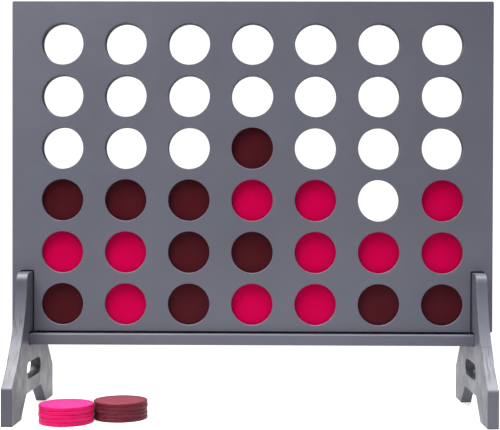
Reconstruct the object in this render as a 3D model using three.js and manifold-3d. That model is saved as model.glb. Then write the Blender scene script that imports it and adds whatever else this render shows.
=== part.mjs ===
// Giant four in a row, a lawn game: a hollow board of two perforated panels stands in the open
// slots of two legs, and a release bar through both legs closes the foot of its seven columns.
// Millimetres, +Z up, +X along the board, -Y towards the player. The origin is on the floor,
// under the middle of the board.

import * as THREE from 'three';
import { mergeVertices } from 'three/addons/utils/BufferGeometryUtils.js';
import Module from 'manifold-3d';

const wasm = await Module();
wasm.setup();

// ---- driving dimensions ----

const GAP = 0.3; // between pieces that touch

const DISC_RADIUS = 50.65;
const DISC_THICKNESS = 6.7;
const DISC_PITCH = 2 * DISC_RADIUS + GAP; // disc on disc in a column
const DISC_SEGMENTS = 20;

const COLUMNS = 7;
const ROWS = 6;
const COLUMN_PITCH = 123.5;
const ROW_PITCH = 101.6;
const HOLE_RADIUS = 40.5;
const HOLE_CURVE_POINTS = 5; // a viewing hole is two arcs, each of twice this many steps

const BOARD_WIDTH = 937.2;
const BOARD_BOTTOM = 157.5;
const BOARD_TOP = 801;
const BOTTOM_HOLES_Z = 210.4;
const PANEL_THICKNESS = 8;
const CHANNEL_DEPTH = 9.5; // between the two panels
const CHANNEL_WIDTH = 103; // between two dividers
const BOARD_HALF_THICKNESS = CHANNEL_DEPTH / 2 + PANEL_THICKNESS;

const LEG_INNER_FACE = 428.5; // from the middle of the board
const LEG_THICKNESS = 21.2;
const LEG_TOP = 273.6;
const LEG_HALF_DEPTH = 172;
const LAP_Z = 215.7; // where the leg's slot ends and the end divider sits on it
const ARM_CLEARANCE = 2.5; // between an arm and the panel that is notched round it
const ARM_HALF_DEPTH = 57; // at the top of the leg
const ARM_CORNER_RADIUS = 14;
const ARM_SWEEP = { low: [118, 113], high: [72, 170] }; // pulls on the curve from foot to arm
const FOOT_TOP = 69; // of the upright face of each foot

const ARCH_HALF_WIDTH = 105; // at the floor
const ARCH_CROWN_HALF_WIDTH = 60;
const ARCH_HEIGHT = 41;
const ARCH_CORNER_RADIUS = 8;

const LEG_CURVE_POINTS = 5; // steps in each curve of a leg, or half the steps in each arc
const HAND_HOLE = { halfWidth: 56, bottom: 68.5, top: 99.8, radius: 15.6 };
const BAR_WINDOW = { halfWidth: 43.5, bottom: 132.1, top: 158, radius: 9 };

const BAR_HALF_DEPTH = 28.75;
const BAR_THICKNESS = 21.2;
const BAR_BOTTOM = BAR_WINDOW.bottom + GAP;
const BAR_TOP = BAR_BOTTOM + BAR_THICKNESS;
const BAR_PROUD = 10; // beyond the outer face of each leg, for the fingers
const BAR_LENGTH = 2 * (LEG_INNER_FACE + LEG_THICKNESS + BAR_PROUD);
const BAR_EDGE_RADIUS = 2;
const BAR_EDGE_POINTS = 1;
const REAR_PANEL_BOTTOM = BAR_TOP + GAP; // closes the slit between the board and the bar

const SCREW = { headRadius: 3.9, headDepth: 3, shankRadius: 2, length: 13.5, segments: 8 };
const SCREW_ROWS = { low: 1.5, high: 4.5 }; // heights in rows, so each is between two rows of holes

// Colour of each disc in the board, from the bottom of each column up.
const COLUMN_DISCS = [
  ['burgundy', 'pink', 'burgundy'],
  ['pink', 'pink', 'burgundy'],
  ['burgundy', 'burgundy', 'burgundy'],
  ['pink', 'burgundy', 'pink', 'burgundy'],
  ['pink', 'pink', 'pink'],
  ['burgundy', 'pink'],
  ['burgundy', 'pink', 'pink'],
];

const STACK_COUNT = 5;
const STACKS = [
  { colour: 'pink', x: -341, y: -118 },
  { colour: 'burgundy', x: -246.5, y: -76 },
];
const STACK_SCATTER = 0.5; // how far a disc lies off the middle of its stack
const GOLDEN_ANGLE = 2.4; // radians, so that no two discs in a stack shift alike

// ---- materials ----

const PAINT = { grey: 0x767882, pink: 0xd2004b, burgundy: 0x4b141c, steel: 0x9a9ca0 };

function paint(colour, roughness, metalness = 0) {
  return new THREE.MeshStandardMaterial({ color: PAINT[colour], roughness, metalness });
}

// ---- helpers ----

const X_AXIS = new THREE.Vector3(1, 0, 0);
const Y_AXIS = new THREE.Vector3(0, 1, 0);
const Z_AXIS = new THREE.Vector3(0, 0, 1);

const object = new THREE.Group();

function place(name, geometry, material, x = 0, y = 0, z = 0) {
  const mesh = new THREE.Mesh(geometry, material);
  mesh.name = name;
  mesh.position.set(x, y, z);
  object.add(mesh);
}

// A closed solid in manifold's form, with its shared vertices merged.
function toSolid(geometry) {
  const bare = geometry.clone();
  bare.deleteAttribute('normal');
  bare.deleteAttribute('uv');
  const merged = mergeVertices(bare, 1e-4);
  const triangles = [];
  for (let i = 0; i < merged.index.count; i += 3) {
    const [a, b, c] = merged.index.array.slice(i, i + 3);
    if (a !== b && b !== c && c !== a) triangles.push(a, b, c);
  }
  return new wasm.Manifold(new wasm.Mesh({
    numProp: 3,
    vertProperties: new Float32Array(merged.attributes.position.array),
    triVerts: new Uint32Array(triangles),
  }));
}

function toGeometry(solid) {
  const mesh = solid.getMesh();
  const geometry = new THREE.BufferGeometry();
  geometry.setAttribute('position', new THREE.BufferAttribute(mesh.vertProperties, 3));
  geometry.setIndex(new THREE.BufferAttribute(mesh.triVerts, 1));
  geometry.computeVertexNormals();
  return geometry;
}

function cut(geometry, cutters) {
  const solid = cutters.reduce((rest, cutter) => rest.subtract(toSolid(cutter)), toSolid(geometry));
  return toGeometry(solid);
}

// A shape drawn in X and Z, made into a plate from y = from to y = to.
function plateAcrossY(shape, from, to, curveSegments = HOLE_CURVE_POINTS) {
  const geometry = new THREE.ExtrudeGeometry(shape, { depth: to - from, bevelEnabled: false, curveSegments });
  geometry.applyMatrix4(new THREE.Matrix4().makeBasis(X_AXIS, Z_AXIS, Y_AXIS.clone().negate()));
  return geometry.translate(0, to, 0);
}

// A shape drawn in Y and Z, made into a plate from x = from to x = to.
function plateAcrossX(shape, from, to, curveSegments) {
  const geometry = new THREE.ExtrudeGeometry(shape, { depth: to - from, bevelEnabled: false, curveSegments });
  geometry.applyMatrix4(new THREE.Matrix4().makeBasis(Y_AXIS, Z_AXIS, X_AXIS));
  return geometry.translate(from, 0, 0);
}

// A rectangle with rounded corners, drawn on the path and closed.
function drawRounded(path, { halfWidth, bottom, top, radius }) {
  path.moveTo(-halfWidth + radius, bottom);
  path.lineTo(halfWidth - radius, bottom);
  path.absarc(halfWidth - radius, bottom + radius, radius, -Math.PI / 2, 0, false);
  path.absarc(halfWidth - radius, top - radius, radius, 0, Math.PI / 2, false);
  path.absarc(-halfWidth + radius, top - radius, radius, Math.PI / 2, Math.PI, false);
  path.absarc(-halfWidth + radius, bottom + radius, radius, Math.PI, Math.PI * 1.5, false);
  path.closePath();
  return path;
}

// ---- board ----

const columnX = (column) => (column - (COLUMNS - 1) / 2) * COLUMN_PITCH;

// The outline of a panel or end divider from x = left to x = right, with a notch over each leg
// that it crosses. The notch is open downwards and stands clear of the leg on each side.
function notchedOutline(left, right, bottom, clearance, notchTop) {
  const notchInner = LEG_INNER_FACE - clearance;
  const notchOuter = LEG_INNER_FACE + LEG_THICKNESS + clearance;
  const notches = [[-notchOuter, -notchInner], [notchInner, notchOuter]];
  const outline = new THREE.Shape();
  outline.moveTo(left, bottom);
  for (const [start, end] of notches.filter(([start, end]) => start > left && end < right)) {
    outline.lineTo(start, bottom);
    outline.lineTo(start, notchTop);
    outline.lineTo(end, notchTop);
    outline.lineTo(end, bottom);
  }
  outline.lineTo(right, bottom);
  outline.lineTo(right, BOARD_TOP);
  outline.lineTo(left, BOARD_TOP);
  outline.closePath();
  return outline;
}

// A panel is notched round the arms of the legs, which reach through it to the end dividers.
function panelShape(bottom) {
  const side = BOARD_WIDTH / 2;
  const shape = notchedOutline(-side, side, bottom, ARM_CLEARANCE, LEG_TOP + ARM_CLEARANCE);
  for (let column = 0; column < COLUMNS; column += 1) {
    for (let row = 0; row < ROWS; row += 1) {
      const hole = new THREE.Path();
      const z = BOTTOM_HOLES_Z + row * ROW_PITCH;
      hole.absarc(columnX(column), z, HOLE_RADIUS, 0, Math.PI, false);
      hole.absarc(columnX(column), z, HOLE_RADIUS, Math.PI, 2 * Math.PI, false);
      shape.holes.push(hole);
    }
  }
  return shape;
}

// The strips between the panels: each is [name, left edge, right edge].
function dividerStrips() {
  const half = CHANNEL_WIDTH / 2;
  const strips = [['left_end_divider', -BOARD_WIDTH / 2, columnX(0) - half]];
  for (let column = 1; column < COLUMNS; column += 1) {
    strips.push([`divider_${column}`, columnX(column - 1) + half, columnX(column) - half]);
  }
  strips.push(['right_end_divider', columnX(COLUMNS - 1) + half, BOARD_WIDTH / 2]);
  return strips;
}

// A countersunk screw along Y, head at y = 0 facing +Y; grown by clearance it is its own hole.
function screwGeometry(clearance) {
  const { headRadius, headDepth, shankRadius, length, segments } = SCREW;
  const profile = [
    new THREE.Vector2(0, -length - clearance),
    new THREE.Vector2(shankRadius + clearance, -length - clearance),
    new THREE.Vector2(shankRadius + clearance, -headDepth),
    new THREE.Vector2(headRadius + clearance, 0),
  ];
  if (clearance > 0) profile.push(new THREE.Vector2(headRadius + clearance, clearance));
  profile.push(new THREE.Vector2(0, profile[profile.length - 1].y));
  return new THREE.LatheGeometry(profile, segments);
}

// Every divider has two screws, which go through the rear panel into its middle.
function screwsOf([strip, left, right]) {
  return Object.entries(SCREW_ROWS).map(([height, rows]) => ({
    name: `${strip}_screw_${height}`,
    x: (left + right) / 2,
    z: BOTTOM_HOLES_Z + rows * ROW_PITCH,
  }));
}

function screwHoles(screws) {
  return screws.map(({ x, z }) => screwGeometry(GAP).translate(x, BOARD_HALF_THICKNESS, z));
}

function buildBoard() {
  const inner = CHANNEL_DEPTH / 2;
  const strips = dividerStrips();
  const front = plateAcrossY(panelShape(BOARD_BOTTOM), -BOARD_HALF_THICKNESS, -inner);
  const rear = plateAcrossY(panelShape(REAR_PANEL_BOTTOM), inner, BOARD_HALF_THICKNESS);
  place('front_panel', front, paint('grey', 0.55));
  place('rear_panel', cut(rear, screwHoles(strips.flatMap(screwsOf))), paint('grey', 0.55));
  for (const strip of strips) {
    const [name, left, right] = strip;
    const screws = screwsOf(strip);
    const outline = notchedOutline(left, right, BOARD_BOTTOM, GAP, LAP_Z + GAP);
    const divider = plateAcrossY(outline, -inner + GAP, inner - GAP);
    place(name, cut(divider, screwHoles(screws)), paint('grey', 0.6));
    for (const screw of screws) {
      const steel = paint('steel', 0.4, 0.9);
      place(screw.name, screwGeometry(0), steel, screw.x, BOARD_HALF_THICKNESS, screw.z);
    }
  }
}

// ---- legs ----

// Half of a leg's outline, from the middle of the arch round the foot and the arm to the slot.
function legHalfOutline() {
  const slotHalfWidth = CHANNEL_DEPTH / 2;
  const armCentreY = ARM_HALF_DEPTH - ARM_CORNER_RADIUS;
  const armCentreZ = LEG_TOP - ARM_CORNER_RADIUS;
  const half = new THREE.Path();
  half.moveTo(ARCH_CROWN_HALF_WIDTH - ARCH_CORNER_RADIUS, ARCH_HEIGHT);
  half.quadraticCurveTo(
    ARCH_CROWN_HALF_WIDTH,
    ARCH_HEIGHT,
    ARCH_CROWN_HALF_WIDTH + ARCH_CORNER_RADIUS,
    ARCH_HEIGHT - ARCH_CORNER_RADIUS,
  );
  half.lineTo(ARCH_HALF_WIDTH, 0);
  half.lineTo(LEG_HALF_DEPTH, 0);
  half.lineTo(LEG_HALF_DEPTH, FOOT_TOP);
  half.bezierCurveTo(...ARM_SWEEP.low, ...ARM_SWEEP.high, ARM_HALF_DEPTH, armCentreZ);
  half.absarc(armCentreY, armCentreZ, ARM_CORNER_RADIUS, 0, Math.PI / 2, false);
  half.lineTo(slotHalfWidth, LEG_TOP);
  half.lineTo(slotHalfWidth, LAP_Z);
  return half.getPoints(LEG_CURVE_POINTS);
}

// A leg seen from the side: two feet with an arch between them, a hand hole, the window for the
// release bar, and two arms with the slot for an end divider between them. Drawn in Y and Z.
function legShape() {
  const half = legHalfOutline();
  const mirrored = half.map((point) => new THREE.Vector2(-point.x, point.y)).reverse();
  const shape = new THREE.Shape([...half, ...mirrored]);
  shape.holes.push(drawRounded(new THREE.Path(), HAND_HOLE));
  shape.holes.push(drawRounded(new THREE.Path(), BAR_WINDOW));
  return shape;
}

function buildLegs() {
  const outer = LEG_INNER_FACE + LEG_THICKNESS;
  const left = plateAcrossX(legShape(), -outer, -LEG_INNER_FACE, LEG_CURVE_POINTS);
  const right = plateAcrossX(legShape(), LEG_INNER_FACE, outer, LEG_CURVE_POINTS);
  place('left_leg', left, paint('grey', 0.5));
  place('right_leg', right, paint('grey', 0.5));
}

// ---- release bar ----

function buildReleaseBar() {
  const section = drawRounded(new THREE.Shape(), {
    halfWidth: BAR_HALF_DEPTH,
    bottom: BAR_BOTTOM,
    top: BAR_TOP,
    radius: BAR_EDGE_RADIUS,
  });
  const bar = plateAcrossX(section, -BAR_LENGTH / 2, BAR_LENGTH / 2, BAR_EDGE_POINTS);
  place('release_bar', bar, paint('grey', 0.5));
}

// ---- discs ----

function discGeometry() {
  return new THREE.CylinderGeometry(DISC_RADIUS, DISC_RADIUS, DISC_THICKNESS, DISC_SEGMENTS);
}

// The discs in the board stand on edge, one on the other, and the lowest stands on the bar.
function buildBoardDiscs() {
  COLUMN_DISCS.forEach((colours, column) => {
    colours.forEach((colour, row) => {
      const name = `${colour}_disc_column_${column + 1}_row_${row + 1}`;
      const z = BAR_TOP + GAP + DISC_RADIUS + row * DISC_PITCH;
      place(name, discGeometry(), paint(colour, 0.45), columnX(column), 0, z);
    });
  });
}

// The spare discs lie flat on the floor in two stacks in front of the left leg.
function buildDiscStacks() {
  for (const { colour, x, y } of STACKS) {
    for (let level = 0; level < STACK_COUNT; level += 1) {
      const shift = STACK_SCATTER * Math.sin(level * GOLDEN_ANGLE);
      const z = DISC_THICKNESS / 2 + level * (DISC_THICKNESS + GAP);
      const disc = discGeometry().rotateX(Math.PI / 2);
      place(`${colour}_stack_disc_${level + 1}`, disc, paint(colour, 0.45), x + shift, y, z);
    }
  }
}

buildLegs();
buildBoard();
buildReleaseBar();
buildBoardDiscs();
buildDiscStacks();

export default object;
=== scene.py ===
"""Giant four in a row: a grey board of seven columns in two legs, a release bar and its discs.

Outlines are in millimetres and become metres where they are placed. +X runs along the board,
-Y points at the player and +Z is up, as in the frame.
"""
import math

import bpy
from mathutils import Matrix, Vector
from mathutils.geometry import tessellate_polygon


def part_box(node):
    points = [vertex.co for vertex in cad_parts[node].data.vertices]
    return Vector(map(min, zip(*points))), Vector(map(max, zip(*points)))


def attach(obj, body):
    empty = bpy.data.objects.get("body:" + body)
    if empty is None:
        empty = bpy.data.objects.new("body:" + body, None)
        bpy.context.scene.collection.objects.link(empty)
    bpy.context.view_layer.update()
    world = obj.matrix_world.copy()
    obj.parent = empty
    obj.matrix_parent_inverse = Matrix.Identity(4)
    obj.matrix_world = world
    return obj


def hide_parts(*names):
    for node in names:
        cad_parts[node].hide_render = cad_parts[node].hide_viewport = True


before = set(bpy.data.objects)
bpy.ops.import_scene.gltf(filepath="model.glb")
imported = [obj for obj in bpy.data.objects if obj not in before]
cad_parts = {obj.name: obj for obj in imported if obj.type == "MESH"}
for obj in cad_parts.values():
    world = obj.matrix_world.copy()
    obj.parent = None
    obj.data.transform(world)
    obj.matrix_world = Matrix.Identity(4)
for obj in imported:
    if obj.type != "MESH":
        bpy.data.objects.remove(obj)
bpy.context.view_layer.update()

MM = 0.001

# ---- driving dimensions, in millimetres ----

COLUMNS = 7
ROWS = 6
ROW_PITCH = 101.6
BOTTOM_HOLES_Z = 210.4
HOLE_RADIUS = 40.5
BOARD_EDGE = 1.1  # radius of every edge of a panel
BOARD_CORNER = 3.0
STRIP_EDGE = 0.7  # radius of every edge of a divider
NOTCH_CORNER = 1.4  # radius of a notch's corners, in edge radii
CLEARANCE = 0.3  # between pieces that touch
ARM_CLEARANCE = 2.5  # between an arm and the panel notched round it

LEG_EDGE = 1.3  # radius of every edge of a leg
FOOT_TOP = 69.0
FOOT_CORNER = 9.0
SOLE_CORNER = 3.4
ARM_HALF_DEPTH = 57.0
ARM_CORNER = 19.0
ARM_SWEEP = ((118.0, 113.0), (72.0, 170.0))
SLOT_HALF_WIDTH = 4.75
SLOT_FLOOR = 215.7
SLOT_CORNER = 0.8
ARCH_HALF_WIDTH = 105.0
ARCH_CROWN_HALF_WIDTH = 60.0
ARCH_HEIGHT = 41.0
ARCH_CORNER = 10.0
HAND_HOLE = (56.0, 68.5, 99.8, 15.6)  # half width, bottom, top, corner radius
BAR_WINDOW = (43.5, 132.1, 158.0, 9.0)
LEFT_PLY_LINES = (75.0, 215.0)  # heights between which the plies show through the paint
RIGHT_PLY_LINES = (75.0, 160.0)
RIGHT_SEAM = 140.5  # height of a filled joint across the right leg's narrow faces

BAR_CORNER = 2.2
BAR_END_EDGE = 1.6

DISC_RIM = 3.4  # width of the raised ring round each face
DISC_RECESS = 0.75
DISC_STEP = 0.7  # width of the slope between the ring and the face
DISC_STEP_EDGE = 0.5
DISC_EDGE = 1.3

SCREW_HEAD = 3.9  # radius
SCREW_HEAD_PLATE = 0.9  # thickness of the head down to the foot of its recess
SCREW_HEAD_EDGE = 0.1
SCREW_CONE = 1.8  # depth of the cone under the head
SCREW_POINT = 3.2  # length of the point
SCREW_SHANK = 2.0  # radius
CROSS_ARM = 2.3  # from the middle of the recess to the end of an arm
CROSS_HALF_WIDTH = 0.45
CROSS_CORNER = 0.12

BEVEL_STEPS = 4
HOLE_STEPS = 96
DISC_STEPS = 112
SCREW_STEPS = 32

FLOOR_RADIUS = 0.95  # metres
FLOOR_STEPS = 96
FLOOR_GLOW = 0.62
WORLD_BEHIND = 1.1  # brightness of the world where the camera sees it
WORLD_AROUND = 0.32  # and as it lights the game
CAMERA_PLACE = (0.0539037, -2.0621252, 0.3848794)  # metres
CAMERA_TURN = (89.3625, -0.1686, 0.5808)  # degrees about X, Y and Z
CAMERA_LENS = 75.709  # millimetres, on a sensor 36 mm wide
CAMERA_SHIFT = (-0.0381, 0.0237)


def box_mm(node):
    """Lowest and highest corner of a CAD node, in millimetres."""
    low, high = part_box(node)
    return Vector(low) / MM, Vector(high) / MM


FRONT_LOW, FRONT_HIGH = box_mm("front_panel")
REAR_LOW, REAR_HIGH = box_mm("rear_panel")
LEG_LOW, LEG_HIGH = box_mm("right_leg")
BAR_LOW, BAR_HIGH = box_mm("release_bar")
FIRST_STRIP = box_mm("divider_1")
SECOND_STRIP = box_mm("divider_2")
COLUMN_PITCH = SECOND_STRIP[0].x - FIRST_STRIP[0].x


# ---- surfaces ----


def rounded(corners, steps=BEVEL_STEPS):
    """A closed loop of points. Each corner is (u, v, radius), and is rounded off by its radius."""
    loop = []
    for index, (u, v, radius) in enumerate(corners):
        corner = Vector((u, v))
        if radius == 0:
            loop.append(corner)
            continue
        back = (Vector(corners[index - 1][:2]) - corner).normalized()
        ahead = (Vector(corners[(index + 1) % len(corners)][:2]) - corner).normalized()
        half = back.angle(ahead) / 2
        centre = corner + (back + ahead).normalized() * radius / math.sin(half)
        start = back * radius / math.tan(half) + corner - centre
        end = ahead * radius / math.tan(half) + corner - centre
        sweep = math.atan2(start.x * end.y - start.y * end.x, start.dot(end))
        for step in range(steps + 1):
            loop.append(centre + Matrix.Rotation(sweep * step / steps, 2) @ start)
    return loop


def circle(u, v, radius, steps=HOLE_STEPS):
    """A round hole: clockwise, so that the solid is on its left."""
    turn = -2 * math.pi / steps
    return [
        Vector((u + radius * math.cos(turn * k), v + radius * math.sin(turn * k)))
        for k in range(steps)
    ]


def rectangle(half_width, low, high, radius, steps=6):
    """A rounded rectangle about u = 0, anticlockwise."""
    corners = [(-half_width, low), (half_width, low), (half_width, high), (-half_width, high)]
    return rounded([(u, v, radius) for u, v in corners], steps)


def outward(loop):
    """For each point of a loop with its solid on the left, its outward normal and its mitre."""
    result = []
    for index, point in enumerate(loop):
        arriving = (point - loop[index - 1]).normalized()
        leaving = (loop[(index + 1) % len(loop)] - point).normalized()
        first = Vector((arriving.y, -arriving.x))
        normal = (first + Vector((leaving.y, -leaving.x))).normalized()
        result.append((normal, 1 / max(normal.dot(first), 0.3)))
    return result


class Surface:
    """The faces of one piece, with a normal and an amount of edge wear at each point."""

    def __init__(self, axes, origin=(0, 0, 0)):
        self.axes = Matrix(axes).transposed()
        self.origin = Vector(origin)
        self.points = []
        self.normals = []
        self.wear = []
        self.faces = []

    def point(self, place, normal, wear):
        self.points.append((self.origin + self.axes @ Vector(place)) * MM)
        self.normals.append((self.axes @ Vector(normal)).normalized())
        self.wear.append(wear)
        return len(self.points) - 1

    def strip(self, ring, following):
        """Quads between two closed rings of the same length."""
        for k in range(len(ring)):
            after = (k + 1) % len(ring)
            self.faces.append((ring[k], ring[after], following[after], following[k]))

    def plate(self, loops, low, high, edge):
        """A plate between two heights, cut to loops, with all its edges rounded."""
        bottoms, tops = [], []
        angles = [math.pi / 2 * step / BEVEL_STEPS for step in range(BEVEL_STEPS + 1)]
        profile = [(a, low + edge * (1 - math.sin(a)), -1) for a in reversed(angles)]
        profile += [(a, high - edge * (1 - math.sin(a)), 1) for a in angles]
        for loop in loops:
            directions = outward(loop)
            rings = []
            for angle, height, side in profile:
                inset = edge * (1 - math.cos(angle))
                ring = []
                for point, (normal, mitre) in zip(loop, directions):
                    place = point - normal * mitre * inset
                    flat = normal * math.cos(angle)
                    bent = (flat.x, flat.y, side * math.sin(angle))
                    ring.append(self.point((place.x, place.y, height), bent, math.sin(2 * angle)))
                rings.append(ring)
            for ring, following in zip(rings, rings[1:]):
                self.strip(ring, following)
            bottoms.append((rings[0], loop, directions))
            tops.append((rings[-1], loop, directions))
        self.cap(bottoms, edge, False)
        self.cap(tops, edge, True)

    def cap(self, rims, edge, upwards):
        """Closes one side of the plate inside its rims."""
        indices = [index for ring, _, _ in rims for index in ring]
        flat = [
            [(*(point - normal * mitre * edge), 0) for point, (normal, mitre) in zip(loop, sides)]
            for _, loop, sides in rims
        ]
        corners = [corner for rim in flat for corner in rim]
        for a, b, c in tessellate_polygon(flat):
            (ax, ay, _), (bx, by, _), (cx, cy, _) = corners[a], corners[b], corners[c]
            turns_left = (bx - ax) * (cy - ay) > (by - ay) * (cx - ax)
            face = (a, b, c) if turns_left == upwards else (a, c, b)
            self.faces.append(tuple(indices[k] for k in face))

    def lathe(self, profile, steps, rim=0.0):
        """Turns a profile of (radius, height) points about the third axis, from foot to top.

        What lies further out than the rim is handled, and so a little worn.
        """
        sides = outward(profile)
        rings = []
        for (radius, height), (normal, _) in list(zip(profile, sides))[1:-1]:
            tilted = abs(normal.x) > 0.2 and abs(normal.y) > 0.2
            handled = 0.6 if radius > rim else 0.0
            wear = 1.0 if tilted else handled
            ring = []
            for step in range(steps):
                angle = 2 * math.pi * step / steps
                across, along = math.cos(angle), math.sin(angle)
                place = (radius * across, radius * along, height)
                bent = (normal.x * across, normal.x * along, normal.y)
                ring.append(self.point(place, bent, wear))
            rings.append(ring)
        for ring, following in zip(rings, rings[1:]):
            self.strip(ring, following)
        foot = self.point((0, 0, profile[0].y), (0, 0, -1), 0)
        top = self.point((0, 0, profile[-1].y), (0, 0, 1), 0)
        for k in range(steps):
            after = (k + 1) % steps
            self.faces.append((rings[0][after], rings[0][k], foot))
            self.faces.append((rings[-1][k], rings[-1][after], top))

    def show(self, node, body, material):
        """Makes the piece that stands for a CAD node."""
        mesh = bpy.data.meshes.new(node + "_surface")
        mesh.from_pydata(self.points, [], self.faces, shade_flat=False)
        wear = mesh.attributes.new("wear", "FLOAT", "POINT")
        wear.data.foreach_set("value", self.wear)
        mesh.normals_split_custom_set_from_vertices(self.normals)
        mesh.materials.append(material)
        piece = bpy.data.objects.new(node + "_shown", mesh)
        bpy.context.scene.collection.objects.link(piece)
        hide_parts(node)
        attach(piece, body)
        return piece


# Drawn in X and Z: the third axis points at the player.
FACING_PLAYER = ((1, 0, 0), (0, 0, 1), (0, -1, 0))
# Drawn in Y and Z: the third axis is +X.
ALONG_BOARD = ((0, 1, 0), (0, 0, 1), (1, 0, 0))
UPRIGHT = ((1, 0, 0), (0, 1, 0), (0, 0, 1))


# ---- finishes ----


class Finish:
    """A procedural material. Its methods add a node and return the node's output."""

    def __init__(self, name, **constants):
        self.material = bpy.data.materials.new(name)
        self.material.use_nodes = True
        self.tree = self.material.node_tree
        self.shader = self.tree.nodes["Principled BSDF"]
        for socket, value in constants.items():
            self.shader.inputs[socket.replace("_", " ")].default_value = value
        self.place = self.node("ShaderNodeTexCoord", output="Object")
        self.facing = self.node("ShaderNodeTexCoord", output="Normal")

    def node(self, kind, inputs=None, output=0, **settings):
        node = self.tree.nodes.new(kind)
        for setting, value in settings.items():
            setattr(node, setting, value)
        for socket, value in (inputs or {}).items():
            self.feed(node.inputs[socket], value)
        return node.outputs[output]

    def feed(self, socket, value):
        if isinstance(value, bpy.types.NodeSocket):
            self.tree.links.new(value, socket)
        else:
            socket.default_value = value

    def noise(self, scale, detail=2.0, stretch=(1, 1, 1), shift=(0, 0, 0)):
        place = self.node(
            "ShaderNodeMapping", {"Vector": self.place, "Scale": stretch, "Location": shift}
        )
        return self.node("ShaderNodeTexNoise", {"Vector": place, "Scale": scale, "Detail": detail})

    def fade(self, value, start, end, low=0.0, high=1.0):
        """value from start to end becomes low to high, and stays there beyond."""
        names = ("Value", "From Min", "From Max", "To Min", "To Max")
        return self.node("ShaderNodeMapRange", dict(zip(names, (value, start, end, low, high))))

    def times(self, first, second):
        return self.node("ShaderNodeMath", {0: first, 1: second}, operation="MULTIPLY")

    def less(self, first, second):
        return self.node("ShaderNodeMath", {0: first, 1: second}, operation="SUBTRACT")

    def larger(self, first, second):
        return self.node("ShaderNodeMath", {0: first, 1: second}, operation="MAXIMUM")

    def size(self, value):
        return self.node("ShaderNodeMath", {0: value}, operation="ABSOLUTE")

    def mix(self, factor, first, second, blend_type="MIX"):
        inputs = {0: factor, 6: first, 7: second}
        return self.node("ShaderNodeMix", inputs, 2, data_type="RGBA", blend_type=blend_type)

    def wear(self):
        return self.node("ShaderNodeAttribute", output="Fac", attribute_name="wear")

    def part(self, source, axis):
        return self.node("ShaderNodeSeparateXYZ", {"Vector": source}, axis)

    def bump(self, height, distance, strength=1.0):
        inputs = {"Height": height, "Distance": distance, "Strength": strength}
        return self.node("ShaderNodeBump", inputs, output="Normal")

    def finish(self, **channels):
        for socket, value in channels.items():
            self.feed(self.shader.inputs[socket.replace("_", " ")], value)
        return self.material


GREY_COOL = (0.0705, 0.0740, 0.0955, 1)
GREY_WARM = (0.0735, 0.0730, 0.0940, 1)
GREY_WORN = (0.15, 0.15, 0.17, 1)
GREY_STREAK = (0.008, 0.008, 0.010, 1)


def painted_wood(name, painted_light_tone=1.0, ply_lines=None, seam=None, shift=(0, 0, 0)):
    """Satin grey paint rolled on plywood.

    The plies can show through on the narrow faces, between two heights, with a seam at a third.
    """
    f = Finish(name, Specular_IOR_Level=0.3)
    colour = f.mix(f.fade(f.noise(7, 2, shift=shift), 0.38, 0.62), GREY_COOL, GREY_WARM)
    # painted_light_tone scales the paint's brightness for each piece: painted light where it is
    # above 1, painted shade where it is below
    clouds = f.fade(f.noise(4, 3, shift=shift), 0.3, 0.7, 0.94 * painted_light_tone, 1.05 * painted_light_tone)
    grain = f.fade(f.noise(210, 3, (1, 1, 0.12)), 0.3, 0.7, 0.99, 1.008)
    colour = f.mix(1.0, colour, f.times(clouds, grain), "MULTIPLY")
    rubbed = f.times(f.wear(), f.fade(f.noise(85, 4), 0.5, 0.72))
    colour = f.mix(f.times(rubbed, 0.6), colour, GREY_WORN)
    relief = f.noise(620, 3)
    if ply_lines:
        narrow = f.fade(f.size(f.part(f.facing, "X")), 0.3, 0.6, 1, 0)
        height = f.part(f.place, "Z")
        low, high = ply_lines
        span = f.times(
            f.fade(height, low * MM, (low + 22) * MM),
            f.fade(height, (high - 30) * MM, high * MM, 1, 0),
        )
        lines = f.fade(f.noise(1, 3, (400, 12, 26), shift), 0.54, 0.59)
        streaks = f.times(f.times(lines, narrow), span)
        colour = f.mix(f.times(streaks, 0.8), colour, GREY_STREAK)
        relief = f.less(relief, f.times(streaks, 0.8))
        if seam:
            near = f.fade(f.size(f.less(height, seam * MM)), 0.3 * MM, 0.9 * MM, 1, 0)
            colour = f.mix(f.times(f.times(near, narrow), 0.6), colour, GREY_STREAK)
    roughness = f.fade(f.noise(30, 4, shift=shift), 0.3, 0.7, 0.36, 0.5)
    return f.finish(Base_Color=colour, Roughness=roughness, Normal=f.bump(relief, 0.00009, 0.5))


def moulded_plastic(name, colour, deep, pale, tint):
    """Satin plastic with a fine moulded grain, paler on its rubbed rims, and paler on its upper
    faces as a painted sheen.
    """
    f = Finish(name, Specular_IOR_Level=0.14, Specular_Tint=tint)
    base = f.mix(f.fade(f.noise(16, 3), 0.35, 0.65), deep, colour)
    rubbed = f.times(f.wear(), f.fade(f.noise(150, 4), 0.35, 0.7, 0.35, 0.8))
    # Upper faces are made paler away from the rims: a painted sheen standing in for the light they
    # catch from above.
    upwards = f.fade(f.part(f.facing, "Z"), 0.7, 0.98, 0, 0.95)
    painted_top_sheen = f.times(upwards, f.fade(f.wear(), 0, 0.6, 1, 0.15))
    # The pale colour serves both the worn rims and the painted sheen on the upper faces.
    base = f.mix(f.larger(rubbed, painted_top_sheen), base, pale)
    rough = f.fade(f.noise(45, 4), 0.3, 0.7, 0.37, 0.5)
    grain = f.bump(f.noise(900, 2), 0.00005, 0.5)
    return f.finish(Base_Color=base, Roughness=rough, Normal=grain)


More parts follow.
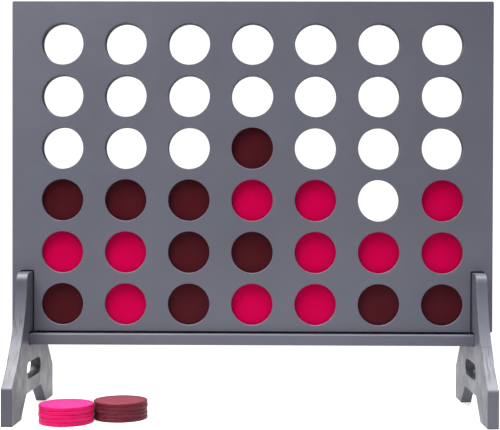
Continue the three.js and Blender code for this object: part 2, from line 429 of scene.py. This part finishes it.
def screw_steel():
    """Zinc-plated steel, turned, with a little tarnish in patches and paler worn edges."""
    f = Finish("screw_steel_finish", Metallic=1.0)
    clean, dull = (0.56, 0.57, 0.58, 1), (0.30, 0.29, 0.27, 1)
    base = f.mix(f.fade(f.noise(500, 4), 0.45, 0.7), clean, dull)
    base = f.mix(f.times(f.wear(), 0.4), base, (0.75, 0.75, 0.76, 1))
    rough = f.fade(f.noise(900, 3), 0.3, 0.7, 0.25, 0.42)
    return f.finish(Base_Color=base, Roughness=rough, Normal=f.bump(f.noise(1600, 2), 0.00003))


# All these pieces wear one grey paint. Their tones differ as painted light and shade: the board and
# bar are a little brighter, the right leg a little darker and the left leg much darker.
BOARD_PAINT = painted_wood("board_paint_finish", 1.05)
DIVIDER_PAINT = painted_wood("divider_paint_finish", shift=(3, 1, 2))
BAR_PAINT = painted_wood("bar_paint_finish", 1.04, shift=(7, 2, 5))
LEFT_LEG_PAINT = painted_wood("left_leg_paint_finish", 0.69, LEFT_PLY_LINES, shift=(1.5, 6, 4))
RIGHT_LEG_PAINT = painted_wood(
    "right_leg_paint_finish", 0.95, RIGHT_PLY_LINES, RIGHT_SEAM, shift=(4.5, 3, 9)
)
# Each plastic's third colour is the pale of its worn rims and of the painted sheen on its upper
# faces.
PLASTIC = {
    "pink": moulded_plastic(
        "pink_disc_finish",
        (0.385, 0.0001, 0.042, 1),
        (0.36, 0.0, 0.038, 1),
        (0.47, 0.018, 0.125, 1),
        (1.0, 0.12, 0.4, 1),
    ),
    "burgundy": moulded_plastic(
        "burgundy_disc_finish",
        (0.043, 0.0036, 0.0066, 1),
        (0.037, 0.0028, 0.0054, 1),
        (0.135, 0.022, 0.036, 1),
        (1.0, 0.55, 0.62, 1),
    ),
}
STEEL = screw_steel()


# ---- board ----


def column_x(column):
    return (column - (COLUMNS - 1) / 2) * COLUMN_PITCH


def notched(left, right, bottom, top, clearance, notch_top, corner):
    """Outline in X and Z, with a notch from below over each leg that it crosses."""
    inner = LEG_LOW.x - clearance
    outer = LEG_HIGH.x + clearance
    small = corner if corner < BOARD_CORNER else BOARD_EDGE * NOTCH_CORNER
    corners = [(left, bottom, corner)]
    for start, end in ((-outer, -inner), (inner, outer)):
        if left < start and end < right:
            corners += [(start, bottom, small), (start, notch_top, small)]
            corners += [(end, notch_top, small), (end, bottom, small)]
    corners += [(right, bottom, corner), (right, top, corner), (left, top, corner)]
    return rounded(corners)


def screws_of(strip):
    """Where the screws of a divider are, in X and Z, by name."""
    return {
        name: (box_mm(name)[0] + box_mm(name)[1]) / 2
        for name in (f"{strip}_screw_low", f"{strip}_screw_high")
    }


def build_panels(strips):
    notch_top = LEG_HIGH.z + ARM_CLEARANCE
    front_outline = notched(
        FRONT_LOW.x, FRONT_HIGH.x, FRONT_LOW.z, FRONT_HIGH.z, ARM_CLEARANCE, notch_top, BOARD_CORNER
    )
    rear_outline = notched(
        REAR_LOW.x, REAR_HIGH.x, REAR_LOW.z, REAR_HIGH.z, ARM_CLEARANCE, notch_top, BOARD_CORNER
    )
    holes = [
        circle(column_x(column), BOTTOM_HOLES_Z + row * ROW_PITCH, HOLE_RADIUS)
        for column in range(COLUMNS)
        for row in range(ROWS)
    ]
    front = Surface(FACING_PLAYER)
    front.plate([front_outline, *holes], -FRONT_HIGH.y, -FRONT_LOW.y, BOARD_EDGE)
    front.show("front_panel", "board", BOARD_PAINT)
    screw_holes = [
        circle(centre.x, centre.z, SCREW_HEAD + CLEARANCE, 24)
        for strip in strips
        for centre in screws_of(strip).values()
    ]
    rear = Surface(FACING_PLAYER)
    rear.plate([rear_outline, *holes, *screw_holes], -REAR_HIGH.y, -REAR_LOW.y, BOARD_EDGE)
    rear.show("rear_panel", "board", BOARD_PAINT)


def build_dividers(strips):
    for strip in strips:
        low, high = box_mm(strip)
        notch_top = SLOT_FLOOR + CLEARANCE
        outline = notched(
            low.x, high.x, low.z, high.z, CLEARANCE, notch_top, STRIP_EDGE * NOTCH_CORNER
        )
        holes = [
            circle(centre.x, centre.z, SCREW_SHANK + CLEARANCE, 16)
            for centre in screws_of(strip).values()
        ]
        divider = Surface(FACING_PLAYER)
        divider.plate([outline, *holes], -high.y, -low.y, STRIP_EDGE)
        divider.show(strip, "board", DIVIDER_PAINT)
        for screw in screws_of(strip):
            build_screw(screw)


def build_screw(name):
    """A countersunk screw with a cross recess, along Y, its head flush with the rear panel."""
    low, high = box_mm(name)
    middle = (low + high) / 2
    length = high.y - low.y
    away_from_player = ((-1, 0, 0), (0, 0, 1), (0, 1, 0))
    screw = Surface(away_from_player, (middle.x, low.y, middle.z))
    arm, half = CROSS_ARM, CROSS_HALF_WIDTH
    cross = [
        (half, half), (arm, half), (arm, -half), (half, -half), (half, -arm), (-half, -arm),
        (-half, -half), (-arm, -half), (-arm, half), (-half, half), (-half, arm), (half, arm),
    ]
    recess = rounded([(u, v, CROSS_CORNER) for u, v in cross], 2)
    rim = list(reversed(circle(0, 0, SCREW_HEAD - SCREW_HEAD_EDGE, SCREW_STEPS)))
    screw.plate([rim, recess], length - SCREW_HEAD_PLATE, length, SCREW_HEAD_EDGE)
    head_foot = length - SCREW_HEAD_PLATE + SCREW_HEAD_EDGE
    neck = SCREW_HEAD - SCREW_HEAD_PLATE
    body = [
        (0, 0),
        (SCREW_SHANK * 0.1, SCREW_SHANK * 0.1),
        (SCREW_SHANK * 0.6, SCREW_POINT / 2),
        (SCREW_SHANK, SCREW_POINT),
        (SCREW_SHANK, head_foot - 0.4 - SCREW_CONE),
        (neck, head_foot - 0.4),
        (neck, head_foot),
        (0.1, head_foot),
        (0, head_foot),
    ]
    screw.lathe([Vector(pair) for pair in body], SCREW_STEPS)
    screw.show(name, "board", STEEL)


# ---- legs and bar ----


def bezier(start, first, second, end, steps):
    """Points of a cubic curve, without its last one."""
    pulls = [Vector(point) for point in (start, first, second, end)]
    points = []
    for step in range(steps):
        t = step / steps
        weights = ((1 - t) ** 3, 3 * t * (1 - t) ** 2, 3 * t * t * (1 - t), t ** 3)
        point = Vector((0, 0))
        for weight, pull in zip(weights, pulls):
            point += weight * pull
        points.append(point)
    return points


def leg_outline():
    """A leg from the side, in Y and Z: two feet, the arch between them, two arms and the slot."""
    depth, top = LEG_HIGH.y, LEG_HIGH.z
    arm_foot = (depth, FOOT_TOP)
    arm_head = (ARM_HALF_DEPTH, top - ARM_CORNER)
    sweep = bezier(arm_foot, *ARM_SWEEP, arm_head, 28)
    half = [
        (ARCH_CROWN_HALF_WIDTH, ARCH_HEIGHT, ARCH_CORNER),
        (ARCH_HALF_WIDTH, 0, SOLE_CORNER),
        (depth, 0, SOLE_CORNER),
        (*arm_foot, FOOT_CORNER),
        *[(*point, 0) for point in sweep[1:]],
        (ARM_HALF_DEPTH, top, ARM_CORNER),
        (SLOT_HALF_WIDTH, top, LEG_EDGE * NOTCH_CORNER),
        (SLOT_HALF_WIDTH, SLOT_FLOOR, SLOT_CORNER),
    ]
    mirrored = [(-u, v, radius) for u, v, radius in reversed(half)]
    return rounded(half + mirrored, 6)


def build_legs():
    outline = leg_outline()
    openings = [list(reversed(rectangle(*opening))) for opening in (HAND_HOLE, BAR_WINDOW)]
    for name, paint in (("left_leg", LEFT_LEG_PAINT), ("right_leg", RIGHT_LEG_PAINT)):
        low, high = box_mm(name)
        leg = Surface(ALONG_BOARD)
        leg.plate([outline, *openings], low.x, high.x, LEG_EDGE)
        leg.show(name, "stand", paint)


def build_release_bar():
    bar = Surface(ALONG_BOARD)
    section = rectangle(BAR_HIGH.y, BAR_LOW.z, BAR_HIGH.z, BAR_CORNER)
    bar.plate([section], BAR_LOW.x, BAR_HIGH.x, BAR_END_EDGE)
    bar.show("release_bar", "release_bar", BAR_PAINT)


# ---- discs ----


def disc_profile(radius, thickness):
    """Half the section of a disc: a rounded rim that stands proud of both faces."""
    inner = radius - DISC_RIM
    half = thickness / 2
    face = half - DISC_RECESS
    upper = [
        (radius, half, DISC_EDGE),
        (inner + DISC_STEP, half, DISC_STEP_EDGE),
        (inner, face, DISC_STEP_EDGE),
        (inner - 6, face, 0),
        (0, face, 0),
    ]
    lower = [(u, -v, edge) for u, v, edge in reversed(upper)]
    return rounded(lower + upper, 5)


def build_discs():
    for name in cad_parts:
        colour = name.split("_")[0]
        if "_disc_" not in name or colour not in PLASTIC:
            continue
        low, high = box_mm(name)
        size = high - low
        standing = size.y < size.z
        thickness = min(size)
        disc = Surface(FACING_PLAYER if standing else UPRIGHT, (low + high) / 2)
        radius = max(size) / 2
        disc.lathe(disc_profile(radius, thickness), DISC_STEPS, radius - DISC_RIM)
        disc.show(name, name, PLASTIC[colour])


STRIPS = ["left_end_divider", *(f"divider_{k}" for k in range(1, COLUMNS)), "right_end_divider"]
build_panels(STRIPS)
build_dividers(STRIPS)
build_legs()
build_release_bar()
build_discs()


# ---- studio ----


def floor():
    """A round pale sheet under the game, lit through a little like a studio's light table."""
    angles = [2 * math.pi * step / FLOOR_STEPS for step in range(FLOOR_STEPS)]
    rim = [Vector((math.cos(angle), math.sin(angle), 0)) * FLOOR_RADIUS for angle in angles]
    mesh = bpy.data.meshes.new("floor")
    mesh.from_pydata(rim, [], [tuple(range(FLOOR_STEPS))])
    f = Finish("floor_finish", Specular_IOR_Level=0.1, Emission_Strength=FLOOR_GLOW)
    f.shader.inputs["Emission Color"].default_value = (1, 1, 1, 1)
    shade = f.mix(f.fade(f.noise(3, 3), 0.3, 0.7), (0.37, 0.37, 0.37, 1), (0.40, 0.40, 0.40, 1))
    rough = f.fade(f.noise(20, 2), 0.3, 0.7, 0.8, 0.95)
    mesh.materials.append(f.finish(Base_Color=shade, Roughness=rough))
    ground = bpy.data.objects.new("floor", mesh)
    bpy.context.scene.collection.objects.link(ground)


def lamp(name, kind, place, target, energy, **settings):
    data = bpy.data.lights.new(name, kind)
    data.energy = energy
    for setting, value in settings.items():
        setattr(data, setting, value)
    light = bpy.data.objects.new(name, data)
    light.location = place
    light.rotation_euler = (Vector(target) - Vector(place)).to_track_quat("-Z", "Y").to_euler()
    bpy.context.scene.collection.objects.link(light)


def studio():
    world = bpy.data.worlds.new("studio")
    world.use_nodes = True
    nodes, links = world.node_tree.nodes, world.node_tree.links
    path = nodes.new("ShaderNodeLightPath")
    level = nodes.new("ShaderNodeMapRange")
    level.inputs["To Min"].default_value = WORLD_AROUND
    level.inputs["To Max"].default_value = WORLD_BEHIND
    links.new(path.outputs["Is Camera Ray"], level.inputs["Value"])
    links.new(level.outputs[0], nodes["Background"].inputs["Strength"])
    nodes["Background"].inputs["Color"].default_value = (1, 1, 1, 1)
    bpy.context.scene.world = world
    bpy.context.scene.view_settings.view_transform = "Standard"
    lamp("overhead", "SUN", (-0.2, -0.25, 3), (0, 0, 0), 10.5, angle=math.radians(46))
    lamp("fill", "AREA", (1.8, -0.28, 0.5), (-0.43, -0.05, 0.2), 12, size=0.8)
    lamp(
        "softbox", "AREA", (-1.15, -0.95, 1.9), (-0.2, 0, 0.5), 50,
        shape="RECTANGLE", size=1.3, size_y=0.8,
    )


def camera():
    data = bpy.data.cameras.new("camera")
    data.sensor_width = 36
    data.lens = CAMERA_LENS
    data.shift_x, data.shift_y = CAMERA_SHIFT
    view = bpy.data.objects.new("camera", data)
    view.location = CAMERA_PLACE
    view.rotation_euler = [math.radians(angle) for angle in CAMERA_TURN]
    bpy.context.scene.collection.objects.link(view)
    bpy.context.scene.camera = view


floor()
studio()
camera()
